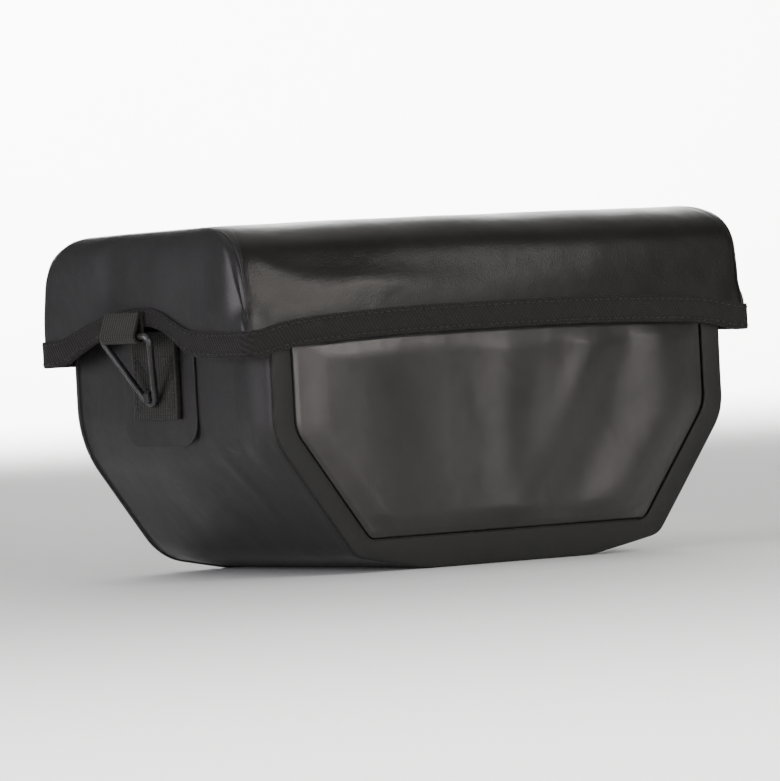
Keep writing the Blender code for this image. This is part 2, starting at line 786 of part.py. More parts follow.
clear_scene()
BAG = collection("handlebar_bag")
MATT_FABRIC = material("matt_coated_fabric", (0.030, 0.030, 0.032), 0.62)
GLOSS_FABRIC = material("gloss_coated_fabric", (0.055, 0.052, 0.052), 0.32)
WEBBING_CLOTH = material("webbing", (0.022, 0.022, 0.021), 0.85)
BLACK_WIRE = material("black_wire", (0.03, 0.03, 0.032), 0.35, 0.9)
HARD_PLASTIC = material("hard_plastic", (0.018, 0.018, 0.018), 0.5)

side_band()
front_border()
gloss_panel()
back_panel()
mount_plate()
lid_panels()
hem_tape()
for sign, word in ((1, "right"), (-1, "left")):
    side_patch(sign, f"side_patch_{word}")
    webbing_tab(sign, f"webbing_tab_{word}")
    ring_hook(sign, f"ring_hook_{word}")
    webbing_loop(sign, f"webbing_loop_{word}")
    fastening_ring(sign, f"fastening_ring_{word}")
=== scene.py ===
# Looks for a bicycle handlebar bag: coated fabric, a glossy front, webbing and wire
from math import atan2, ceil, copysign, cos, exp, floor, pi, radians, sin, sqrt, tan, tau

import bmesh
import bpy
from mathutils import Matrix, Vector, noise


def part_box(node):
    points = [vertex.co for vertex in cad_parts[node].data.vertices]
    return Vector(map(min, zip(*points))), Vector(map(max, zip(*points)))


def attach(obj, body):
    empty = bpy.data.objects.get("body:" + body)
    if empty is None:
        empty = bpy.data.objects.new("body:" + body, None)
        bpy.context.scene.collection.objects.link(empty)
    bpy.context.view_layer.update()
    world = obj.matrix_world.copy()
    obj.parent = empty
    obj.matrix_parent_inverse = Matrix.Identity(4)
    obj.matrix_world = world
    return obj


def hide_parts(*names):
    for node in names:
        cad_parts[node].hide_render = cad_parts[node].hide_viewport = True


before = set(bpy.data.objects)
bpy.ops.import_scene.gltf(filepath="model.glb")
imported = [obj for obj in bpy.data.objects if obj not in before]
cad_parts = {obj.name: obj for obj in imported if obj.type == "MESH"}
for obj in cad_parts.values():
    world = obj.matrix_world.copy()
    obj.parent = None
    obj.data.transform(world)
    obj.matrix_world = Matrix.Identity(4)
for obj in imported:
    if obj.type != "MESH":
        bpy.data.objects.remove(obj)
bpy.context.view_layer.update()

# Places taken from the frame
hemLow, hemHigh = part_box("lid_hem_tape")
bandLow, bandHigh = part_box("body_side_band")
borderLow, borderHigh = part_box("body_front_border")
backLow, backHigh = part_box("body_back")
patchLow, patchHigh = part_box("side_patch_right")
tabLow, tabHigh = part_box("webbing_tab_right")
loopLow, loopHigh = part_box("webbing_loop_right")
ringLow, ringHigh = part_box("fastening_ring_right")
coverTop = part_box("lid_cover")[1].z
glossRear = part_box("body_front_gloss")[1].y
tabMiddle = (tabLow.y + tabHigh.y) / 2
insidePoint = Vector((0, (bandLow.y + bandHigh.y) / 2, coverTop / 2))
print("frame loaded:", len(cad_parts), "nodes")


# Small helpers

sameSpot = 1e-6  # nearer than this is one place
pointGap = 0.003  # between the points of a swept line


def mix(low, high, share):
    return low + (high - low) * share


def steps(count):  # shares from 0 to 1
    return [step / count for step in range(count + 1)]


def smooth(share):
    share = min(1.0, max(0.0, share))
    return share * share * (3 - 2 * share)


def bell(distance, width):
    return exp(-((distance / width) ** 2))


def readTable(rows, place):  # value at a place, on a soft curve through the rows
    last = len(rows) - 1
    slopes = []
    for index in range(last + 1):
        before, after = rows[max(0, index - 1)], rows[min(last, index + 1)]
        slopes.append((after[1] - before[1]) / (after[0] - before[0]))
    index = max(0, min(last - 1, sum(1 for row in rows[1:] if row[0] < place)))
    start, end = rows[index], rows[index + 1]
    run = end[0] - start[0]
    t = min(1.0, max(0.0, (place - start[0]) / run))
    bend = run * t * (1 - t) * ((1 - t) * slopes[index] - t * slopes[index + 1])
    return mix(start[1], end[1], smooth(t)) + bend


def roundedPath(corners, radii, closed=False, spacing=0.004, arcSteps=10):  # flat path with rounded corners
    path = []
    count = len(corners)
    for index, corner in enumerate(corners):
        here = Vector(corner)
        if not closed and index in (0, count - 1):
            bend = [here]
        else:
            toLast = (Vector(corners[index - 1]) - here).normalized()
            toNext = (Vector(corners[(index + 1) % count]) - here).normalized()
            half = toLast.angle(toNext) / 2
            centre = here + (toLast + toNext).normalized() * radii[index] / sin(half)
            start = here + toLast * radii[index] / tan(half) - centre
            end = here + toNext * radii[index] / tan(half) - centre
            turn = start.angle_signed(end)
            bend = [centre + Matrix.Rotation(-turn * s / arcSteps, 2) @ start for s in range(arcSteps + 1)]
        if path:
            path += straight(path[-1], bend[0], spacing)
        path += bend
    if closed:
        path += straight(path[-1], path[0], spacing)
    return path


def straight(start, end, spacing):
    pieces = max(1, ceil((end - start).length / spacing - 1e-3))
    return [start.lerp(end, step / pieces) for step in range(1, pieces)]


def resample(path, count):  # evenly spaced points along an open path
    lengths = [0.0]
    for start, end in zip(path, path[1:]):
        lengths.append(lengths[-1] + (end - start).length)
    made, index = [], 0
    for step in range(count + 1):
        goal = lengths[-1] * step / count
        while index < len(path) - 2 and lengths[index + 1] < goal:
            index += 1
        part = (goal - lengths[index]) / (lengths[index + 1] - lengths[index])
        made.append(path[index].lerp(path[index + 1], part))
    return made


def crumpled(place, waves):  # unevenness of a soft wall: seed, size and depth of each wave
    return sum(
        depth * noise.noise(place / size + Vector((seed, seed * 1.7, seed * 0.3))) for seed, size, depth in waves
    )


# Meshes

dressing = bpy.data.collections.new("handlebarBagLooks")
bpy.context.scene.collection.children.link(dressing)


def addObject(name, data, *finishes):
    obj = bpy.data.objects.new(name, data)
    for finish in finishes:
        data.materials.append(finish)
    dressing.objects.link(obj)
    return obj


def dress(piece, slotName, *nodeNames):
    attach(piece, "root")
    if nodeNames:
        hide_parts(*nodeNames)


def addCurve(name, lines, cyclic, dimensions="3D"):  # guide through lines of places
    curve = bpy.data.curves.new(name, "CURVE")
    curve.dimensions = dimensions
    for line in lines:
        spline = curve.splines.new("POLY")
        spline.points.add(len(line) - 1)
        for point, place in zip(spline.points, line):
            point.co = (*place, 1)
        spline.use_cyclic_u = cyclic
    return addObject(name, curve)


def evaluated(obj):  # its mesh with the modifiers in
    bpy.context.view_layer.update()
    graph = bpy.context.evaluated_depsgraph_get()
    return bpy.data.meshes.new_from_object(obj.evaluated_get(graph))


def meshFrom(guide):  # takes a guide's mesh and removes the guide
    mesh = evaluated(guide)
    bpy.data.objects.remove(guide)
    mesh.materials.clear()
    return mesh


def shadeSoftly(mesh, sharpFrom):  # smooth, with sharp edges from this many degrees
    mesh.shade_smooth()
    mesh.set_sharp_from_angle(angle=radians(sharpFrom))


def gridObject(name, rows, finish, wrap=False, keep=None, closed=False):
    bm = bmesh.new()
    uvLayer = bm.loops.layers.uv.new("UVMap")
    verts = [[bm.verts.new(point) for point in row] for row in rows]
    count = len(rows[0])
    middle = rows[len(rows) // 2]
    across, up = [0.0], [0.0]
    for start, end in zip(middle, middle[1:] + middle[:1]):
        across.append(across[-1] + (end - start).length)
    for start, end in zip(rows, rows[1:] + rows[:1]):
        up.append(up[-1] + (end[count // 2] - start[count // 2]).length)
    for r in range(len(rows) if closed else len(rows) - 1):
        for c in range(count if wrap else count - 1):
            if keep and not keep(r, c):
                continue
            nextRow, nextColumn = (r + 1) % len(rows), (c + 1) % count
            square = (verts[r][c], verts[r][nextColumn], verts[nextRow][nextColumn], verts[nextRow][c])
            face = bm.faces.new(square)
            for corner, (u, v) in zip(face.loops, ((c, r), (c + 1, r), (c + 1, r + 1), (c, r + 1))):
                corner[uvLayer].uv = (across[u], up[v])
    bmesh.ops.delete(bm, geom=[vert for vert in bm.verts if not vert.link_faces], context="VERTS")
    bmesh.ops.remove_doubles(bm, verts=bm.verts, dist=sameSpot)
    if closed and wrap:
        bmesh.ops.recalc_face_normals(bm, faces=bm.faces)
    else:
        bm.normal_update()
        if sum(face.normal.dot(face.calc_center_median() - insidePoint) for face in bm.faces) < 0:
            bmesh.ops.reverse_faces(bm, faces=bm.faces)
    mesh = bpy.data.meshes.new(name)
    bm.to_mesh(mesh)
    bm.free()
    return addObject(name, mesh, finish)


def soften(obj, shift):  # moves each point along its normal
    mesh = obj.data
    normals = [vertex.normal.copy() for vertex in mesh.vertices]
    for vertex, normal in zip(mesh.vertices, normals):
        vertex.co += normal * shift(vertex.co)
    mesh.update()
    return obj


def wallUp(obj, wall, edge=0.0, outwards=-1, even=True):  # gives a sheet its thickness, and may ease its edges
    solid = obj.modifiers.new("wall", "SOLIDIFY")
    solid.thickness, solid.offset, solid.use_even_offset = wall, outwards, even
    if edge:
        ease = obj.modifiers.new("edge", "BEVEL")
        ease.width, ease.segments, ease.limit_method, ease.angle_limit = edge, 2, "ANGLE", radians(55)
    mesh = evaluated(obj)
    obj.modifiers.clear()
    obj.data = mesh
    shadeSoftly(mesh, 50)
    return obj


# Nodes

def feed(tree, node, inputs):  # values and links into a node
    for label, value in inputs.items():
        if isinstance(value, bpy.types.NodeSocket):
            tree.links.new(value, node.inputs[label])
        else:
            node.inputs[label].default_value = value
    return node


def addNode(tree, kind, inputs=None, **settings):
    node = tree.nodes.new(kind)
    for name, value in settings.items():
        setattr(node, name, value)
    return feed(tree, node, inputs or {})


# Trees for what repeats or follows a line

def newTree(name, **sockets):
    tree = bpy.data.node_groups.new(name, "GeometryNodeTree")
    for label, kind in dict(Geometry="Geometry", **sockets, Finish="Material").items():
        tree.interface.new_socket(label, in_out="INPUT", socket_type=f"NodeSocket{kind}")
    tree.interface.new_socket("Geometry", in_out="OUTPUT", socket_type="NodeSocketGeometry")
    return tree, tree.nodes.new("NodeGroupInput").outputs


def spacedPoints(tree, line, length):
    spaced = addNode(tree, "GeometryNodeResampleCurve", {"Curve": line, "Length": length}, mode="LENGTH")
    return spaced.outputs["Curve"]


def finishTree(tree, given, shape):  # real faces, smooth and in their finish
    real = addNode(tree, "GeometryNodeRealizeInstances", {"Geometry": shape})
    rounded = addNode(tree, "GeometryNodeSetShadeSmooth", {"Geometry": real.outputs["Geometry"]})
    coat = {"Geometry": rounded.outputs["Geometry"], "Material": given["Finish"]}
    coated = addNode(tree, "GeometryNodeSetMaterial", coat)
    addNode(tree, "NodeGroupOutput", {"Geometry": coated.outputs["Geometry"]})
    return tree


def stitchTree():  # one bead of thread after another along a line
    tree, given = newTree("stitches", Stitch="Float", Gap="Float", Thread="Float")
    pitch = addNode(tree, "ShaderNodeMath", {0: given["Stitch"], 1: given["Gap"]}, operation="ADD")
    tangent = addNode(tree, "GeometryNodeInputTangent").outputs["Tangent"]
    turn = addNode(tree, "FunctionNodeAlignRotationToVector", {"Vector": tangent}, axis="X")
    ball = addNode(tree, "GeometryNodeMeshUVSphere", {"Segments": 8, "Rings": 6, "Radius": 0.5})
    sides = {"X": given["Stitch"], "Y": given["Thread"], "Z": given["Thread"]}
    size = addNode(tree, "ShaderNodeCombineXYZ", sides).outputs["Vector"]
    bead = addNode(tree, "GeometryNodeTransform", {"Geometry": ball.outputs["Mesh"], "Scale": size})
    placed = addNode(tree, "GeometryNodeInstanceOnPoints", {
        "Points": spacedPoints(tree, given["Geometry"], pitch.outputs[0]), "Instance": bead.outputs["Geometry"],
        "Rotation": turn.outputs["Rotation"],
    })
    return finishTree(tree, given, placed.outputs["Instances"])


def pipingTree():  # a round welt swept along a line
    tree, given = newTree("piping", Radius="Float", Spacing="Float")
    section = addNode(tree, "GeometryNodeCurvePrimitiveCircle", {"Resolution": 10, "Radius": given["Radius"]})
    swept = addNode(tree, "GeometryNodeCurveToMesh", {
        "Curve": spacedPoints(tree, given["Geometry"], given["Spacing"]),
        "Profile Curve": section.outputs["Curve"], "Fill Caps": True,
    })
    return finishTree(tree, given, swept.outputs["Mesh"])


def alongLines(name, lines, tree, values, finish, slotName, *nodeNames, cyclic=False):  # a dressed piece from lines
    guide = addCurve(name + "Line", lines, cyclic)
    modifier = guide.modifiers.new("made", "NODES")
    modifier.node_group = tree
    sockets = {item.name: item.identifier for item in tree.interface.items_tree if item.in_out == "INPUT"}
    for label, value in dict(values, Finish=finish).items():
        modifier[sockets[label]] = value
    obj = addObject(name, meshFrom(guide), finish)
    for face in obj.data.polygons:
        face.material_index = 0
    dress(obj, slotName, *nodeNames)


# Finishes

def newFinish(name):
    made = bpy.data.materials.new(name)
    made.use_nodes = True
    return made, made.node_tree, made.node_tree.nodes["Principled BSDF"]


def noiseAt(tree, where, scale, detail=2.0):
    return addNode(tree, "ShaderNodeTexNoise", {"Scale": scale, "Detail": detail, "Vector": where}).outputs["Fac"]


def ranged(tree, value, low=0.0, high=1.0):  # the busy middle of a noise, spread from low to high
    ends = {"From Min": 0.3, "From Max": 0.7, "To Min": low, "To Max": high, "Value": value}
    return addNode(tree, "ShaderNodeMapRange", ends).outputs["Result"]


def blendColour(tree, share, dark, light):
    ends = {"Factor": share, "A": (*dark, 1), "B": (*light, 1)}
    return addNode(tree, "ShaderNodeMix", ends, data_type="RGBA").outputs["Result"]


def flecked(tree, colour, spots, shade, share):  # fine darker flecks over a colour
    flecks = blendColour(tree, ranged(tree, spots), (shade,) * 3, (1.0,) * 3)
    parts = {"Factor": share, "A": colour, "B": flecks}
    return addNode(tree, "ShaderNodeMix", parts, data_type="RGBA", blend_type="MULTIPLY").outputs["Result"]


def bumpNode(tree, height, distance, strength, under=None):
    parts = {"Distance": distance, "Strength": strength, "Height": height}
    if under:
        parts["Normal"] = under
    return addNode(tree, "ShaderNodeBump", parts).outputs["Normal"]


fabric = dict(
    stains=14.0, dust=160.0, dustShade=0.72, dustShare=0.35, ripples=45.0, polish=0.05,
    scuff=0.07, pebbleShare=0.8, fineScale=1.6, fineDepth=0.7, fineShare=0.6,
)


# Welded tarpaulin: fine pebbled grain, slow stains and scuffs
def coatedFabric(name, dark, light, rough, specular, tint, sheen, grain, grainDepth, rippleDepth):
    made, tree, shader = newFinish(name)
    where = addNode(tree, "ShaderNodeTexCoord").outputs["Object"]
    slow = noiseAt(tree, where, fabric["stains"], 4.0)
    dust = noiseAt(tree, where, fabric["dust"], 3.0)
    fine = noiseAt(tree, where, grain * fabric["fineScale"])
    pebble = addNode(tree, "ShaderNodeTexVoronoi", {"Scale": grain, "Vector": where}).outputs["Distance"]
    shades = blendColour(tree, ranged(tree, slow), dark, light)
    under = bumpNode(tree, noiseAt(tree, where, fabric["ripples"]), rippleDepth, 1.0)
    under = bumpNode(tree, pebble, grainDepth, fabric["pebbleShare"], under)
    feed(tree, shader, {
        "Base Color": flecked(tree, shades, dust, fabric["dustShade"], fabric["dustShare"]),
        "Roughness": ranged(tree, slow, rough - fabric["polish"], rough + fabric["scuff"]),
        "Normal": bumpNode(tree, fine, grainDepth * fabric["fineDepth"], fabric["fineShare"], under),
        "Specular IOR Level": specular, "Specular Tint": (*tint, 1),
        "Sheen Weight": sheen, "Sheen Roughness": 0.5,
    })
    return made


webbing = dict(
    fuzz=900.0, fuzzShade=0.6, fuzzShare=0.5, fuzzDepth=0.4, fuzzBump=0.5, waver=0.6,
    threadShare=0.35, weaveBump=0.9,
)


# Twill ribs across the tape, finer threads the other way
def ribbedWebbing(name, dark, light, rough, slant, ribPitch, threadPitch, depth, sheen):
    made, tree, shader = newFinish(name)
    flat = addNode(tree, "ShaderNodeUVMap", uv_map="UVMap").outputs["UV"]
    turn = {"Rotation": (0, 0, radians(slant)), "Vector": flat}
    turned = addNode(tree, "ShaderNodeMapping", turn).outputs["Vector"]
    waves = []
    for direction, pitch, where in (("X", ribPitch, turned), ("Y", threadPitch, flat)):
        waves.append(addNode(tree, "ShaderNodeTexWave", {
            "Scale": tau / (20 * pitch), "Distortion": webbing["waver"], "Detail Scale": 2.0, "Vector": where,
        }, bands_direction=direction).outputs["Fac"])
    fuzz = noiseAt(tree, addNode(tree, "ShaderNodeTexCoord").outputs["Object"], webbing["fuzz"], 3.0)
    parts = {"Factor": webbing["threadShare"], "A": waves[0], "B": waves[1]}
    weave = addNode(tree, "ShaderNodeMix", parts).outputs["Result"]
    shades = blendColour(tree, weave, dark, light)
    under = bumpNode(tree, weave, depth, webbing["weaveBump"])
    feed(tree, shader, {
        "Base Color": flecked(tree, shades, fuzz, webbing["fuzzShade"], webbing["fuzzShare"]),
        "Normal": bumpNode(tree, fuzz, depth * webbing["fuzzDepth"], webbing["fuzzBump"], under),
        "Roughness": rough, "Specular IOR Level": 0.3,
        "Sheen Weight": sheen, "Sheen Roughness": 0.45,
    })
    return made


plain = dict(darker=0.7, lighter=1.35, polish=0.06, scuff=0.08, bump=0.6)


# Thread, coated wire and moulded plastic, with a fine uneven skin
def plainFinish(name, base, rough, slow, fine, depth, metal):
    made, tree, shader = newFinish(name)
    where = addNode(tree, "ShaderNodeTexCoord").outputs["Object"]
    stains = noiseAt(tree, where, slow, 3.0)
    dark, light = (tuple(part * plain[key] for part in base) for key in ("darker", "lighter"))
    feed(tree, shader, {
        "Base Color": blendColour(tree, ranged(tree, stains), dark, light),
        "Roughness": ranged(tree, stains, rough - plain["polish"], rough + plain["scuff"]),
        "Normal": bumpNode(tree, noiseAt(tree, where, fine), depth, plain["bump"]),
        "Metallic": metal,
    })
    return made


mattFabric = coatedFabric(
    "mattCoatedFabric", dark=(0.0092, 0.0085, 0.0089), light=(0.0132, 0.0123, 0.0128),
    rough=0.44, specular=0.42, tint=(1.0, 0.98, 0.98), sheen=0.02,
    grain=1100.0, grainDepth=0.00008, rippleDepth=0.0006,
)
coverFabric = coatedFabric(
    "coverCoatedFabric", dark=(0.0070, 0.0062, 0.0057), light=(0.0102, 0.0090, 0.0083),
    rough=0.36, specular=0.35, tint=(1.0, 0.97, 0.94), sheen=0.01,
    grain=1100.0, grainDepth=0.00008, rippleDepth=0.0006,
)
borderFabric = coatedFabric(
    "borderCoatedFabric", dark=(0.0118, 0.0116, 0.0112), light=(0.0164, 0.0162, 0.0156),
    rough=0.56, specular=0.30, tint=(1.0, 0.98, 0.98), sheen=0.02,
    grain=1300.0, grainDepth=0.00010, rippleDepth=0.0004,
)
glossFabric = coatedFabric(
    "glossCoatedFabric", dark=(0.0212, 0.0192, 0.0187), light=(0.0268, 0.0243, 0.0237),
    rough=0.31, specular=0.50, tint=(1.0, 0.97, 0.96), sheen=0.0,
    grain=1500.0, grainDepth=0.00003, rippleDepth=0.0006,
)
tapeWebbing = ribbedWebbing(
    "tapeWebbing", dark=(0.0075, 0.0070, 0.0066), light=(0.0235, 0.0218, 0.0205),
    rough=0.8, slant=32.0, ribPitch=0.0017, threadPitch=0.0008, depth=0.00035, sheen=0.03,
)
strapWebbing = ribbedWebbing(
    "strapWebbing", dark=(0.0110, 0.0108, 0.0098), light=(0.043, 0.0425, 0.0380),
    rough=0.8, slant=0.0, ribPitch=0.0020, threadPitch=0.0010, depth=0.0004, sheen=0.05,
)
threadFinish = plainFinish(
    "sewingThread", base=(0.010, 0.0095, 0.0090), rough=0.6, slow=300.0, fine=4000.0, depth=0.0001, metal=0.0,
)
wireFinish = plainFinish(
    "blackCoatedWire", base=(0.060, 0.060, 0.062), rough=0.26, slow=90.0, fine=1500.0, depth=0.00004, metal=0.75,
)
plasticFinish = plainFinish(
    "mouldedPlastic", base=(0.010, 0.010, 0.010), rough=0.48, slow=60.0, fine=1800.0, depth=0.00008, metal=0.0,
)
print("finishes made")
stitches, piping = stitchTree(), pipingTree()


# Body

body = dict(
    kinkHeight=0.068, baseHalf=0.094, baseRise=0.008, flatHalf=0.050,
    frontKink=0.028, rearKink=0.055, frontBase=0.012, rearBase=0.032, flatRadius=0.090,
    wall=0.002, edge=0.0003, depthSteps=44, outlineSteps=190,
    dish=0.0016, dishPlace=0.10, dishRun=0.06, dishStart=0.05,
    swell=0.0015, swellRise=0.75, swellFall=0.375,
    waves=[(3.1, 0.055, 0.0011), (8.2, 0.021, 0.000242)], heldEdge=0.12, heldFoot=0.03,
    calm=0.25, calmReach=0.030, calmRun=0.012,  # the patches stay flatter
    crease=0.0007, creasePlace=0.052, creaseSlant=0.30, creaseWidth=0.0022,
    creaseHeight=0.050, creaseRun=0.022,
)
bodyHalf = borderHigh.x
bodyRim = bandHigh.z
flankLean = atan2(bodyHalf - body["baseHalf"], body["kinkHeight"] - body["baseRise"])


def bothSides(half, radii, **settings):  # path through the right half and its mirror
    return roundedPath(half + [(-x, z) for x, z in reversed(half)], radii + radii[::-1], **settings)


def bodyOutline(depthShare, inset=0.0):  # right rim to left rim, seen from the front
    kink = mix(body["frontKink"], body["rearKink"], depthShare)
    base = mix(body["frontBase"], body["rearBase"], depthShare)
    half = [
        (bodyHalf - inset, bodyRim),
        (bodyHalf - inset, body["kinkHeight"] + inset * tan(flankLean / 2)),
        (body["baseHalf"] - inset / 2, body["baseRise"] + inset),
        (body["flatHalf"], inset),
    ]
    return bothSides(half, [0, kink - inset, base - inset, body["flatRadius"]])


def sideOffset(depthShare, z):  # how far the side stands out of its straight line
    upright = smooth(2 * z / body["kinkHeight"] - 1)
    dish = body["dish"] * bell(depthShare - body["dishPlace"], body["dishRun"])
    swell = body["swell"] * sin(pi / 2 * smooth(depthShare / body["swellRise"]))
    swell *= smooth((1 - depthShare) / body["swellFall"])
    return upright * (swell - dish * smooth(depthShare / body["dishStart"]))


def depthAt(y):  # share of the way from the front to the rear
    return (y - bandLow.y) / (bandHigh.y - bandLow.y)


def sideX(y, z):
    return bodyHalf + sideOffset(depthAt(y), z)


def bandShift(place):
    share = depthAt(place.y)
    held = smooth(share / body["heldEdge"]) * smooth((1 - share) / body["heldEdge"])
    held *= smooth(place.z / body["heldFoot"])
    aside = abs(place.y - tabMiddle) - body["calmReach"]
    beside = mix(body["calm"], 1.0, smooth(aside / body["calmRun"]))
    beside = max(beside, smooth((patchLow.z - place.z) / body["calmRun"]))
    line = bandLow.y + body["creasePlace"] - body["creaseSlant"] * (body["kinkHeight"] - place.z)
    crease = body["crease"] * bell(place.y - line, body["creaseWidth"])
    crease *= bell(place.z - body["creaseHeight"], body["creaseRun"])
    return held * beside * crumpled(place, body["waves"]) + crease * held


def makeBand():
    rows = []
    for share in steps(body["depthSteps"]):
        outline = resample(bodyOutline(share), body["outlineSteps"])
        y = mix(bandLow.y, bandHigh.y, share)
        rows.append([Vector((x + copysign(sideOffset(share, z), x), y, z)) for x, z in outline])
    piece = soften(gridObject("sideBandSkin", rows, mattFabric), bandShift)
    dress(wallUp(piece, body["wall"], body["edge"]), "matt_coated_fabric", "body_side_band")


border = dict(
    width=0.0115, foot=0.0158, kinkRadius=0.018, footRadius=0.009,
    steps=7, edge=0.0005, slack=0.0001, rise=0.0005, waves=[(5.5, 0.03, 0.0003)], heldFoot=0.02,
)


def windowPath(spare=0.0):  # inner edge of the border, moved out by spare
    side = bodyHalf - border["width"] + spare
    kink = body["kinkHeight"] + (border["width"] - spare) * tan(flankLean / 2)
    foot = border["foot"] - spare
    half = [(side, bodyRim), (side, kink), (side - (kink - foot) * tan(flankLean), foot)]
    radii = [0, border["kinkRadius"], border["footRadius"] + spare]
    return bothSides(half, radii, spacing=pointGap)


def reachOut(place, way, outline):  # where a ray from a place meets the outline
    met = []
    for start, end in zip(outline, outline[1:]):
        along, gap = end - start, start - place
        cross = way.x * along.y - way.y * along.x
        if abs(cross) > sameSpot**2:
            far = (gap.x * along.y - gap.y * along.x) / cross
            share = (gap.x * way.y - gap.y * way.x) / cross
            if far > sameSpot and -sameSpot <= share <= 1 + sameSpot:
                met.append(far)
    return place + way * min(met, default=0.0)


def makeBorder():
    inner, outer = windowPath(), bodyOutline(0.0)
    pairs = []
    for index, place in enumerate(inner):
        before, after = inner[max(0, index - 1)], inner[min(len(inner) - 1, index + 1)]
        along = (after - before).normalized()
        way = Vector((-along.y, along.x))
        if way.dot(place - Vector((0, bodyRim))) < 0:
            way = -way
        pairs.append((place, reachOut(place, way, outer)))
    rows = []
    for share in steps(border["steps"]):
        y = borderLow.y - border["rise"] * sin(pi * share)
        places = [near.lerp(far, share) for near, far in pairs]
        rows.append([Vector((place.x, y, place.y)) for place in places])
    piece = gridObject("frontBorderSkin", rows, borderFabric)
    soften(piece, lambda place: crumpled(place, border["waves"]) * smooth(place.z / border["heldFoot"]))
    wallUp(piece, borderHigh.y - borderLow.y - border["slack"], border["edge"])
    dress(piece, "matt_coated_fabric", "body_front_border")


gloss = dict(
    flange=0.005, tuck=0.0003, headGap=0.0080, wall=0.002, rows=74, columns=170,
    rowCrowd=1.3, columnCrowd=0.85, within=0.0002, slope=0.9, turnRate=1.2,
    lip=0.0019, lipRun=0.0010, lipHead=0.004, headRun=0.017,
    swell=0.0007, rollLeft=0.0036, rollRight=0.011, rollFoot=0.004,
    pillow=0.0024, pillowSide=0.018, pillowFoot=0.013,
    waves=[(2.2, 0.045, 0.0006), (6.1, 0.018, 0.00012)],
    ridge=0.0025, ridgePlace=0.026, ridgeIn=0.016, ridgeOut=0.013, ridgeFoot=0.02,
    fold=0.0019, foldHead=0.030, foldLow=0.65, foldRate=1.6, foldStart=0.3,
    drift=0.035, driftAcross=11, driftUp=16,
    folds=[  # middle and breadth as shares of the half width, share of the fold's height, fan at the foot
        (-0.70, 0.15, 0.6, 0.7), (-0.40, 0.15, -0.4, 0.7), (0.003, 0.085, 0.85, 0.5), (0.215, 0.070, 0.25, 0.2),
        (0.490, 0.105, 1.15, -0.1), (0.70, 0.09, -0.45, 0.15),
    ],
)
glossFoot, glossTop = border["foot"] + gloss["tuck"], bodyRim - gloss["headGap"]


def foldHeight(x, z):
    level = z / bodyRim
    spot = Vector((x * gloss["driftAcross"], 0.4, z * gloss["driftUp"]))
    place = x / bodyHalf + gloss["drift"] * noise.noise(spot)
    folds = sum(
        share * bell(place - middle * mix(fan, 1.0, level), width) for middle, width, share, fan in gloss["folds"]
    )
    return folds * mix(gloss["foldLow"], 1.0, smooth(level * gloss["foldRate"] - gloss["foldStart"]))


def glossOut(share, half, z):  # how far the panel stands out of its flange
    x, above, below = half * share, max(0.0, z - glossFoot), glossTop - z
    beside = half * (1 - abs(share)) * gloss["slope"]
    side = gloss["ridgePlace"] - half * (1 - share) * gloss["slope"]
    ridge = gloss["ridge"] * bell(side, gloss["ridgeOut"] if side > 0 else gloss["ridgeIn"])
    head, onRight = smooth(below / gloss["headRun"]), smooth(0.5 + gloss["turnRate"] * share)
    roll = smooth(beside / mix(gloss["rollLeft"], gloss["rollRight"], onRight)) * smooth(above / gloss["rollFoot"])
    pillow = smooth(beside / gloss["pillowSide"]) * smooth(above / gloss["pillowFoot"])
    folded = gloss["fold"] * foldHeight(x, z) * smooth(below / gloss["foldHead"])
    out = gloss["lip"] * smooth(min(beside, above) / gloss["lipRun"]) * smooth(below / gloss["lipHead"])
    out += head * roll * (gloss["swell"] + ridge * smooth(above / gloss["ridgeFoot"]))
    return out + head * pillow * (gloss["pillow"] + folded + crumpled(Vector((x, 0, z)), gloss["waves"]))


def makeGloss():
    rightSide = [point for point in windowPath(-gloss["tuck"]) if point.x >= 0]

    def halfAt(z):
        found = [
            a.lerp(b, (z - a.y) / (b.y - a.y)).x
            for a, b in zip(rightSide, rightSide[1:]) if b.y <= z <= a.y and a.y > b.y
        ]
        return max(found) if found else rightSide[-1].x

    evens = [mix(-1, 1, share) for share in steps(gloss["columns"])]
    shares = [mix(even, sin(even * pi / 2), gloss["columnCrowd"]) for even in evens]
    heights = [mix(glossFoot, glossTop, share ** gloss["rowCrowd"]) for share in steps(gloss["rows"])]
    wing = Vector((gloss["flange"], 0, 0))
    rows = []
    for z in [glossFoot - gloss["flange"]] + heights:
        half = halfAt(max(z, glossFoot + gloss["within"]))
        row = [Vector((half * share, glossRear - gloss["wall"] - glossOut(share, half, z), z)) for share in shares]
        rows.append([row[0] - wing] + row + [row[-1] + wing])
    piece = wallUp(gridObject("frontGlossSkin", rows, glossFabric), gloss["wall"], even=False)
    dress(piece, "gloss_coated_fabric", "body_front_gloss")


rearPanel = dict(outlineSteps=150, ease=0.0006, sharpFrom=35)


def makeBack():
    outline = [(*place, 0) for place in resample(bodyOutline(1.0), rearPanel["outlineSteps"])]
    guide = addCurve("backOutline", [outline], True, "2D")
    curve, ease = guide.data, rearPanel["ease"]
    curve.fill_mode = "BOTH"
    curve.extrude = (backHigh.y - backLow.y) / 2 - ease
    curve.bevel_depth, curve.bevel_resolution, curve.offset = ease, 2, -ease
    mesh = meshFrom(guide)
    middle = Matrix.Translation((0, (backLow.y + backHigh.y) / 2, 0))
    mesh.transform(middle @ Matrix.Rotation(pi / 2, 4, "X"))
    bm = bmesh.new()
    bm.from_mesh(mesh)
    bmesh.ops.remove_doubles(bm, verts=bm.verts, dist=sameSpot)
    bmesh.ops.recalc_face_normals(bm, faces=bm.faces)
    bm.to_mesh(mesh)
    bm.free()
    shadeSoftly(mesh, rearPanel["sharpFrom"])
    dress(addObject("backPanelSkin", mesh, mattFabric), "matt_coated_fabric", "body_back")


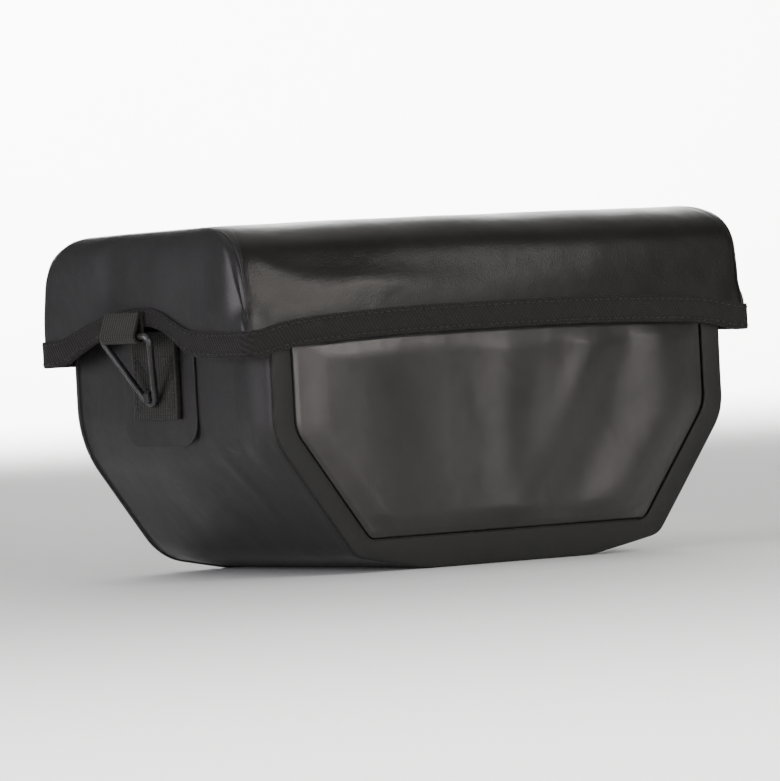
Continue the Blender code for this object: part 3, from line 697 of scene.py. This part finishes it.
welt = dict(gap=0.0004, frontRadius=0.0007, rearRadius=0.0013)


def makeBodySeams():  # welts over the joints of the side band with the front and back
    front = ("frontWelt", 0.0, bandLow.y - welt["gap"], welt["frontRadius"])
    rear = ("rearWelt", 1.0, bandHigh.y + welt["gap"], welt["rearRadius"])
    for name, share, y, radius in (front, rear):
        line = [Vector((x, y, max(z, radius))) for x, z in bodyOutline(share, welt["gap"])]
        values = {"Radius": radius, "Spacing": pointGap}
        alongLines(name, [line], piping, values, borderFabric, "matt_coated_fabric")


makeBand()
makeBorder()
makeGloss()
makeBack()
makeBodySeams()
print("body made")


# Lid

hem = dict(
    height=0.0135, pinch=0.004, tape=0.0010, gap=0.0003, ease=0.35, frontArch=0.0095,
    sideArch=0.0185, belly=0.00025, bellyRate=55, topStitch=0.0018, lowStitch=0.0022,
    threadLift=0.00015, thread=dict(Stitch=0.0030, Gap=0.0009, Thread=0.0007),
    frontRows=[(0.00, 1.00), (0.40, 0.94), (0.65, 0.80), (0.82, 0.62), (0.93, 0.32), (1.00, 0.00)],
    sideRows=[
        (0.00, 0.08), (0.13, 0.10), (0.25, 0.19), (0.31, 0.45), (0.38, 0.83), (0.46, 1.02),
        (0.58, 0.98), (0.71, 0.70), (0.77, 0.54), (0.84, 0.30), (0.91, 0.06), (1.00, 0.00),
    ],
)
lid = dict(
    rise=0.0235, frontReach=0.038, rearRun=0.028, endRun=0.007, endLean=0.001, slopeGap=0.001,
    leftLean=0.0085, rightLean=0.0018, leftStart=14, rightStart=2.5, turnRate=1.25, turnFrom=0.12,
    hemCorner=0.0035, springCorner=0.005, topCorner=0.008,
    topRise=0.0007, topFall=0.004, crown=0.001,
    wall=0.0016, edge=0.00003, longSteps=84, shortSteps=56, cornerSteps=8, wallSteps=12,
    arcSteps=15, topSteps=16, seamStep=12, smoothings=4,
    waves=[(1.3, 0.06, 0.0012), (7.7, 0.024, 0.00024)], freeRun=0.014,
    endFrom=0.0075, endEase=0.005, hemClear=0.004, hemEase=0.010,
    endTurn=0.0036, endTurnFrom=0.003, endTurnRun=0.0165,
    endFolds=[(-0.060, 0.011, -0.0008), (-0.020, 0.015, 0.0009), (0.024, 0.010, -0.0012)],  # place, run, depth
    pocket=-0.0012, pocketIn=0.010, pocketWidth=0.005, pocketHeight=0.1285, pocketRun=0.006,
    pocketDepth=0.02, pocketEase=0.01,
    crease=0.0011, creaseRun=0.0065, creaseLow=0.139, creaseDrop=0.006, dropRate=1.6,
    creaseHook=0.012, hookShare=0.15, fadeRate=1.7, fadeStart=0.25,
    creaseDepth=0.034, creaseEase=0.012, creaseSide=0.008,
    piping=0.0006, pipingLift=0.4, pipingSink=1.6, seamDrift=0.6,
)
lidHalf, lidFront, lidRear = hemHigh.x, hemLow.y, hemHigh.y
lidTop = coverTop + lid["topRise"]
springHeight = lidTop - lid["rise"]
leanHeight = hemLow.z + hem["frontArch"] + hem["height"]
cover = hem["tape"] + hem["gap"]


def lidColumns():
    made = []
    for side, length in (("front", "long"), ("right", "short"), ("rear", "long"), ("left", "short")):
        made += [(side, share) for share in steps(lid[length + "Steps"])]
        made += [(side + "Corner", share) for share in steps(lid["cornerSteps"])[1:-1]]
    return made


def planPoint(column, half, front, rear, radius):  # place on a rounded rectangle, and the way out there
    side, share = column
    x, low, high = half - radius, front + radius, rear - radius
    px, py, angle, bent = {
        "front": (mix(-x, x, share), front, -90, 0), "frontCorner": (x, low, -90, 1),
        "right": (half, mix(low, high, share), 0, 0), "rightCorner": (x, high, 0, 1),
        "rear": (mix(x, -x, share), rear, 90, 0), "rearCorner": (-x, high, 90, 1),
        "left": (-half, mix(high, low, share), 180, 0), "leftCorner": (-x, low, 180, 1),
    }[side]
    angle = radians(angle + 90 * share * bent)
    out = Vector((cos(angle), sin(angle)))
    return Vector((px, py)) + out * radius * bent, out


def archShare(column):
    side, share = column
    if side in ("right", "left"):
        return readTable(hem["sideRows"], share if side == "right" else 1 - share)
    return hem["sideRows"][0][1] if side in ("frontCorner", "leftCorner") else 0.0


def hemLowAt(column):
    if column[0] == "front":
        corner = hem["sideArch"] * hem["sideRows"][0][1]
        return hemLow.z + max(corner, hem["frontArch"] * readTable(hem["frontRows"], abs(2 * column[1] - 1)))
    return hemLow.z + hem["sideArch"] * archShare(column)


def hemTopAt(column):
    return hemLowAt(column) + hem["height"] - hem["pinch"] * max(0.0, archShare(column))


def frontShare(column):  # 0 at the front's left end, 1 at its right end
    side, share = column
    return share if side == "front" else 1.0 if side in ("frontCorner", "right", "rightCorner") else 0.0


def towardsRight(column):
    return smooth(frontShare(column) * lid["turnRate"] - lid["turnFrom"])


def frontLean(column):  # the front stands steeper towards the right
    return mix(lid["leftLean"], lid["rightLean"], towardsRight(column))


def edgeStart(column):  # angle where the front's slope meets the rounded edge; the rear starts upright
    side, share = column
    part = {"rear": 0.0, "rightCorner": 0.0, "rearCorner": 0.0, "right": 1 - smooth(share), "left": smooth(share)}
    angle = mix(lid["leftStart"], lid["rightStart"], towardsRight(column))
    return radians(angle * part.get(side, 1.0))


def wallHead(column):
    return springHeight + lid["rise"] * sin(edgeStart(column))


def wallPoint(column, z, offset=0.0):
    rise = min(1.0, max(0.0, (z - leanHeight) / (springHeight - leanHeight)))
    hemTop = hemTopAt(("front", frontShare(column))) + lid["slopeGap"]
    slope = max(0.0, z - hemTop) / (wallHead(column) - hemTop)
    lean = mix(frontLean(column), lid["frontReach"], 1 - cos(edgeStart(column)))
    point, out = planPoint(
        column, lidHalf - cover - lid["endLean"] * rise, lidFront + cover + lean * slope,
        lidRear - cover, mix(lid["hemCorner"], lid["springCorner"], rise),
    )
    return Vector((*(point + out * offset), z))


def edgePoint(column, angle, share):  # place on the rounded edge, or on the top at a share of the way out
    turn = 1 - cos(angle)
    half = lidHalf - cover - lid["endLean"] - lid["endRun"] * turn
    front = lidFront + cover + mix(frontLean(column), lid["frontReach"], turn)
    rear = lidRear - cover - lid["rearRun"] * turn
    radius = mix(lid["springCorner"], lid["topCorner"], angle / (pi / 2))
    middle, spine = (front + rear) / 2, half - (rear - front) / 2
    sides = [mix(start, end, share) for start, end in ((spine, half), (middle, front), (middle, rear))]
    point, _ = planPoint(column, *sides, radius * share)
    fall = lid["topFall"] * (point.y - lidFront) / (lidRear - lidFront)
    z = lidTop - fall - lid["rise"] * (1 - sin(angle)) + lid["crown"] * (1 - share * share)
    return Vector((*point, z))


def lidRows(columns):
    byColumn = []
    for column in columns:
        low, head, start = hemLowAt(column) + cover, wallHead(column), edgeStart(column)
        points = [wallPoint(column, mix(low, head, share)) for share in steps(lid["wallSteps"])[:-1]]
        points += [edgePoint(column, mix(start, pi / 2, share), 1.0) for share in steps(lid["arcSteps"])]
        for _ in range(lid["smoothings"]):
            inner = [(a + b * 2 + c) / 4 for a, b, c in zip(points, points[1:], points[2:])]
            points = points[:1] + inner + points[-1:]
        byColumn.append(points + [edgePoint(column, pi / 2, 1 - share) for share in steps(lid["topSteps"])[1:]])
    return [list(row) for row in zip(*byColumn)]


def lidShift(place):
    across, aside = (place.x + lidHalf) / (2 * lidHalf), abs(place.x)
    free = smooth((place.z - leanHeight) / lid["freeRun"])
    onEnd = smooth((aside - lidHalf + lid["endFrom"]) / lid["endEase"])
    aboveHem = smooth((place.z - hemLow.z - hem["height"] - lid["hemClear"]) / lid["hemEase"])
    nearFront = 1 - smooth((place.y - lidFront - lid["endTurnFrom"]) / lid["endTurnRun"])
    turned = -lid["endTurn"] * nearFront * onEnd * aboveHem
    hollow = onEnd * sum(depth * bell(place.y - middle, run) for middle, run, depth in lid["endFolds"])
    pocket = lid["pocket"] * bell(aside - (lidHalf - lid["pocketIn"]), lid["pocketWidth"])
    pocket *= bell(place.z - lid["pocketHeight"], lid["pocketRun"])
    pocket *= smooth((lidFront + lid["pocketDepth"] - place.y) / lid["pocketEase"])
    onFront = smooth((lidFront + lid["creaseDepth"] - place.y) / lid["creaseEase"])
    onFront *= smooth((lidHalf - lid["creaseSide"] - aside) / lid["creaseSide"])
    level = lid["creaseLow"] + lid["creaseDrop"] * (1 - smooth(across * lid["dropRate"]))
    level += lid["creaseHook"] * (1 - smooth(across / lid["hookShare"]))
    crease = lid["crease"] * (1 - smooth(across * lid["fadeRate"] - lid["fadeStart"]))
    crease *= bell(place.z - level, lid["creaseRun"])
    return free * crumpled(place, lid["waves"]) + hollow * free + pocket + turned + crease * onFront


def onSurface(place, sheets, lift):  # nearest place on the made sheets, raised by lift
    found = [sheet.closest_point_on_mesh(place)[1:3] for sheet in sheets]
    spot, normal = min(found, key=lambda pair: (pair[0] - place).length)
    return spot + normal * lift


def makeLid():
    columns = lidColumns()
    rows = lidRows(columns)
    seamRow = lid["wallSteps"] + lid["seamStep"]
    corner, long, short = lid["cornerSteps"], lid["longSteps"], lid["shortSteps"]
    starts = {"right": long, "left": 2 * long + short + 2 * corner}
    spans = {side: (start, start + 2 * corner + short) for side, start in starts.items()}

    def inEnd(r, c):
        return next((side for side, (start, end) in spans.items() if r < seamRow and start <= c < end), None)

    ready = []
    whole = gridObject("lidCoverSkin", rows, coverFabric, wrap=True, keep=lambda r, c: inEnd(r, c) is None)
    ready.append((whole, "lid_cover"))
    for side in spans:
        name = f"lidEnd{side.title()}Skin"
        piece = gridObject(name, rows, mattFabric, wrap=True, keep=lambda r, c: inEnd(r, c) == side)
        ready.append((piece, f"lid_end_{side}"))
    for piece, node in ready:
        dress(wallUp(soften(piece, lidShift), lid["wall"], lid["edge"]), "matt_coated_fabric", node)
    sheets = [piece for piece, _ in ready]
    lines = []
    for start, end in spans.values():
        for first, way in ((start, 1), (end, -1)):
            line = []
            for r in range(seamRow + 1):
                c = first + way * lid["seamDrift"] * corner * smooth(r / seamRow) ** 2
                low = floor(c)
                place = rows[r][low % len(columns)].lerp(rows[r][(low + 1) % len(columns)], c - low)
                lift = lid["pipingLift"] - lid["pipingSink"] * smooth(3 * r / seamRow - 2)
                line.append(onSurface(place, sheets, lid["piping"] * lift))
            lines.append(line)
    values = {"Radius": lid["piping"], "Spacing": pointGap}
    alongLines("lidSeamPiping", lines, piping, values, mattFabric, "matt_coated_fabric")


def makeHem():
    columns = lidColumns()
    outside, inside, wall = cover, -lid["wall"] - cover, hem["tape"]
    ease = wall * hem["ease"]
    profile = [  # offset, then a height from the top or the low edge, or a share of the way down
        (outside - ease, "top", 0), (outside - ease * 0.3, "top", -ease * 0.3), (outside, "top", -ease),
        (outside, "mid", 0.25), (outside, "mid", 0.5), (outside, "mid", 0.75), (outside, "low", ease * 3),
        (outside - ease, "low", ease), (outside - ease * 3, "low", 0), (inside + ease * 3, "low", 0),
        (inside + ease, "low", ease), (inside, "low", ease * 3), (inside, "top", -ease), (inside + ease, "top", 0),
        (inside + wall, "top", 0), (inside + wall, "low", wall), (hem["gap"], "low", wall), (hem["gap"], "top", 0),
    ]
    rows = []
    for offset, kind, value in profile:
        row = []
        for column in columns:
            low, top = hemLowAt(column), hemTopAt(column)
            z = {"top": top + value, "low": low + value, "mid": mix(top, low, value)}[kind]
            point = wallPoint(column, z, offset)
            belly = hem["belly"] * noise.noise(point * hem["bellyRate"]) if offset > hem["gap"] * 2 else 0.0
            row.append(point + Vector((copysign(belly, point.x), 0, belly)))
        rows.append(row)
    piece = gridObject("hemTapeSkin", rows, tapeWebbing, wrap=True, closed=True)
    shadeSoftly(piece.data, 60)
    dress(piece, "webbing", "lid_hem_tape")
    lift = cover + hem["threadLift"]
    lines = [
        [wallPoint(column, hemTopAt(column) - hem["topStitch"], lift) for column in columns],
        [wallPoint(column, hemLowAt(column) + hem["lowStitch"], lift) for column in columns],
    ]
    alongLines("hemStitches", lines, stitches, hem["thread"], threadFinish, "webbing", cyclic=True)


makeLid()
makeHem()
print("lid made")


# Side fastenings, made on the right and mirrored

fastening = dict(gap=0.0003, edge=0.0004)
ring = dict(wire=0.0034, corner=0.003, tip=0.0048, spacing=0.0012)
loop = dict(
    wall=0.0015, wallShare=0.94, edge=0.00025, turn=205, topWalls=1.56, sag=0.00025, sagRate=900,
    downSteps=5, turnSteps=18, upSteps=4, acrossSteps=16,
)
bartack = dict(
    steps=46, inset=0.0012, depth=0.0024, lift=0.00025,
    thread=dict(Stitch=0.0016, Gap=0.0002, Thread=0.0006),
)
patch = dict(corner=0.012, wall=0.0008, rows=36, columns=40, rowCrowd=1.4)
tab = dict(
    wall=0.0025, rows=24, columns=20, curl=0.0004, curlRun=0.006,
    seamIn=0.003, seamHigh=0.031, seamLift=0.0001, sideSteps=10, legSteps=8, legShare=0.62,
    thread=dict(Stitch=0.0022, Gap=0.0006, Thread=0.0006),
)
fastenerY = (ringLow.y + ringHigh.y) / 2
wireRadius = ring["wire"] / 2
barPlace = Vector((ringHigh.x - wireRadius, ringHigh.z - wireRadius))
tipPlace = Vector((ringLow.x + wireRadius, ringLow.z + wireRadius))


def mirrored(rows, side):
    return [[Vector((side * place.x, place.y, place.z)) for place in row] for row in rows]


def makeRing(side, word):
    down = tipPlace - barPlace
    half = (ringHigh.y - ringLow.y) / 2 - wireRadius - ring["corner"]
    lean = atan2(half, down.length)
    reach = half + ring["corner"] / tan((pi / 2 - lean) / 2)
    drop = down.length + ring["tip"] / sin(lean) - ring["tip"]
    radii = [ring["corner"], ring["corner"], ring["tip"]]
    path = roundedPath([(-reach, 0), (reach, 0), (0, drop)], radii, closed=True, spacing=pointGap)
    along = down.normalized()
    spots = [(place.x, barPlace + along * place.y) for place in path]
    line = [Vector((side * spot.x, fastenerY + across, spot.y)) for across, spot in spots]
    values = {"Radius": wireRadius, "Spacing": ring["spacing"]}
    node = f"fastening_ring_{word.lower()}"
    alongLines(f"ringWire{word}", [line], piping, values, wireFinish, "black_wire", node, cyclic=True)


def makeLoop(side, word):
    wall, back = loop["wall"], loopLow.x
    radius = loopHigh.x - barPlace.x - wall / 2
    path = [Vector((back + wall / 2, mix(loopHigh.z, barPlace.y, share))) for share in steps(loop["downSteps"])[:-1]]
    for share in steps(loop["turnSteps"]):
        angle = radians(180 + loop["turn"] * share)
        path.append(barPlace + Vector((cos(angle), sin(angle))) * radius)
    top = Vector((back + wall * loop["topWalls"], loopHigh.z))
    path += [path[-1].lerp(top, share) for share in steps(loop["upSteps"])[1:]]
    rows = []
    for spot in path:
        sag = loop["sag"] * sin(spot.y * loop["sagRate"])
        rows.append([
            Vector((spot.x, mix(loopLow.y, loopHigh.y, share), spot.y + sag * sin(pi * share)))
            for share in steps(loop["acrossSteps"])
        ])
    piece = gridObject(f"strapLoop{word}", mirrored(rows, side), strapWebbing)
    wallUp(piece, wall * loop["wallShare"], loop["edge"], outwards=0)
    dress(piece, "webbing", f"webbing_loop_{word.lower()}")
    zigzag = []
    for step, share in enumerate(steps(bartack["steps"])):
        y = mix(loopLow.y + bartack["inset"], loopHigh.y - bartack["inset"], share)
        z = loopHigh.z - bartack["inset"] - bartack["depth"] * (step % 2)
        zigzag.append(Vector((side * (back + 2 * wall + bartack["lift"]), y, z)))
    alongLines(f"loopBartack{word}", [zigzag], stitches, bartack["thread"], threadFinish, "webbing")


def makePatch(side, word):
    middle, half = (patchLow.y + patchHigh.y) / 2, (patchHigh.y - patchLow.y) / 2
    rows = []
    for level in steps(patch["rows"]):
        z = mix(patchLow.z, patchHigh.z, level ** patch["rowCrowd"])
        lift = max(0.0, 1 - (z - patchLow.z) / patch["corner"])
        reach = half - patch["corner"] * (1 - sqrt(1 - lift**2))
        ys = [middle + reach * sin(mix(-1, 1, share) * pi / 2) for share in steps(patch["columns"])]
        rows.append([Vector((sideX(y, z) + fastening["gap"], y, z)) for y in ys])
    piece = soften(gridObject(f"weldPatch{word}", mirrored(rows, side), mattFabric), bandShift)
    wallUp(piece, patch["wall"], fastening["edge"], outwards=1)
    dress(piece, "matt_coated_fabric", f"side_patch_{word.lower()}")


def tabX(y, z):  # underside of the tab, on the patch
    return sideX(y, z) + 2 * fastening["gap"] + patch["wall"]


def makeTab(side, word):
    rows = []
    ys = [mix(tabLow.y, tabHigh.y, share) for share in steps(tab["columns"])]
    for level in steps(tab["rows"]):
        z = mix(tabLow.z, tabHigh.z, level)
        curl = tab["curl"] * smooth(1 - (z - tabLow.z) / tab["curlRun"])
        rows.append([Vector((tabX(y, z) + curl, y, z)) for y in ys])
    piece = gridObject(f"anchorTab{word}", mirrored(rows, side), strapWebbing)
    wallUp(piece, tab["wall"], fastening["edge"], outwards=1)
    dress(piece, "webbing", f"webbing_tab_{word.lower()}")

    def onTab(start, end, share):
        y, z = mix(start[0], end[0], share), mix(start[1], end[1], share)
        return Vector((side * (tabX(y, z) + tab["wall"] + tab["seamLift"]), y, z))

    left, right = tabLow.y + tab["seamIn"], tabHigh.y - tab["seamIn"]
    low, high = tabLow.z + tab["seamIn"], tabLow.z + tab["seamHigh"]
    corners = [(left, low), (right, low), (right, high), (left, high)]
    box = []
    for start, end in zip(corners, corners[1:] + corners[:1]):
        box += [onTab(start, end, share) for share in steps(tab["sideSteps"])[:-1]]
    lines = [box + box[:1]]
    centre = Vector((tabMiddle, (low + high) / 2))
    for corner in corners:
        inner = Vector(corner).lerp(centre, tab["legShare"])
        lines.append([onTab(corner, inner, share) for share in steps(tab["legSteps"])[1:]])
    alongLines(f"tabStitches{word}", lines, stitches, tab["thread"], threadFinish, "webbing")


for side, word in ((1, "Right"), (-1, "Left")):
    makePatch(side, word)
    makeTab(side, word)
    makeLoop(side, word)
    makeRing(side, word)
print("fastenings made")

# Small moulded pieces keep their solids and get their finish
for nodeName in ("mount_plate", "ring_hook_right", "ring_hook_left"):
    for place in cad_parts[nodeName].material_slots:
        place.material = plasticFinish


# Floor, light and camera

studio = dict(
    floorReach=9.0, wallStart=4.2, bend=1.6, bendSteps=16, wallTop=6.0, turn=-36,
    floorDark=(0.84, 0.84, 0.83), floorLight=(0.88, 0.88, 0.87),
    floorRough=0.8, airColour=(0.90, 0.95, 1.0), air=0.20,
    lamps=[  # name, place, aim, brightness, colour, size across and up, beam
        ("topSoftbox", (0.05, 0.50, 1.95), (0, 0, 0.15), 0.8, (1.0, 0.97, 0.92), 2.8, 1.5, 180),
        ("leftSoftbox", (-2.3, 0.35, 0.40), (0, 0, 0.10), 8.0, (0.98, 0.94, 1.0), 1.5, 0.9, 180),
        ("frontStrip", (-0.30, -2.7, 0.30), (0, 0, 0.10), 14.0, (1.0, 0.97, 0.95), 0.60, 1.0, 180),
        ("frontSoftbox", (0.80, -2.55, 0.40), (0, 0, 0.10), 3.0, (1.0, 0.97, 0.95), 1.0, 1.0, 180),
        ("lidKicker", (0.22, -0.57, 0.39), (-0.10, -0.09, 0.135), 15.0, (1.0, 0.97, 0.95), 0.20, 0.10, 180),
        ("backdropWash", (0.6, 2.6, 4.4), (3.2, 4.6, 0.4), 60.0, (1, 1, 1), 3.4, 1.0, 80),
        ("floorWash", (-1.0, -1.5, 2.4), (-0.9, -1.35, 0.0), 5.0, (1, 1, 1), 1.6, 1.0, 60),
    ],
)


def makeFloor():
    bend, reach = studio["bend"], studio["floorReach"]
    profile = [Vector((-reach, 0))]
    for share in steps(studio["bendSteps"]):
        angle = pi / 2 * share
        profile.append(Vector((studio["wallStart"] + bend * sin(angle), bend * (1 - cos(angle)))))
    profile.append(Vector((studio["wallStart"] + bend, studio["wallTop"])))
    bm = bmesh.new()
    turn = Matrix.Rotation(radians(studio["turn"]), 3, "Z")
    left, right = (
        [bm.verts.new(turn @ Vector((across, place.x, place.y))) for place in profile] for across in (-reach, reach)
    )
    for index in range(len(profile) - 1):
        bm.faces.new((left[index], right[index], right[index + 1], left[index + 1]))
    bmesh.ops.recalc_face_normals(bm, faces=bm.faces)
    mesh = bpy.data.meshes.new("paleFloor")
    bm.to_mesh(mesh)
    bm.free()
    made, tree, shader = newFinish("paleFloor")
    where = addNode(tree, "ShaderNodeTexCoord").outputs["Object"]
    faint = noiseAt(tree, where, 3.0, 3.0)
    shades = blendColour(tree, faint, studio["floorDark"], studio["floorLight"])
    feed(tree, shader, {"Base Color": shades, "Roughness": studio["floorRough"]})
    mesh.shade_smooth()
    addObject("paleFloor", mesh, made)


def makeLights():
    for name, place, aim, glow, colour, wide, high, beam in studio["lamps"]:
        lamp = bpy.data.lights.new(name, "AREA")
        lamp.shape, lamp.size, lamp.size_y = "RECTANGLE", wide, high
        lamp.energy = glow * pi * wide * high
        lamp.spread, lamp.color = radians(beam), colour
        obj = bpy.data.objects.new(name, lamp)
        obj.location = place
        obj.visible_camera = False
        obj.rotation_mode = "QUATERNION"
        obj.rotation_quaternion = (Vector(aim) - Vector(place)).to_track_quat("-Z", "Y")
        bpy.context.scene.collection.objects.link(obj)
    world = bpy.data.worlds.new("studioAir")
    world.use_nodes = True
    sky = world.node_tree.nodes["Background"]
    sky.inputs["Color"].default_value = (*studio["airColour"], 1)
    sky.inputs["Strength"].default_value = studio["air"]
    bpy.context.scene.world = world


view = dict(
    turn=36.0, rise=0.9, roll=2.96, distance=3.5, aim=(0.0, -0.00575, 0.090),
    slideRight=-0.00651, slideUp=-0.00345, lens=318.7,
)


def makeCamera():
    turn, rise, roll = (radians(view[key]) for key in ("turn", "rise", "roll"))
    back = Vector((-sin(turn) * cos(rise), -cos(turn) * cos(rise), sin(rise)))
    level = Vector((cos(turn), -sin(turn), 0))
    upright = back.cross(level)
    right = level * cos(roll) - upright * sin(roll)
    up = level * sin(roll) + upright * cos(roll)
    camera = bpy.data.objects.new("photoCamera", bpy.data.cameras.new("photoCamera"))
    camera.data.lens = view["lens"]
    camera.data.clip_end = 50
    place = Vector(view["aim"]) + back * view["distance"] + right * view["slideRight"] + up * view["slideUp"]
    camera.matrix_world = Matrix.Translation(place) @ Matrix((right, up, back)).transposed().to_4x4()
    bpy.context.scene.collection.objects.link(camera)
    bpy.context.scene.camera = camera


makeFloor()
makeLights()
makeCamera()
print("studio made")
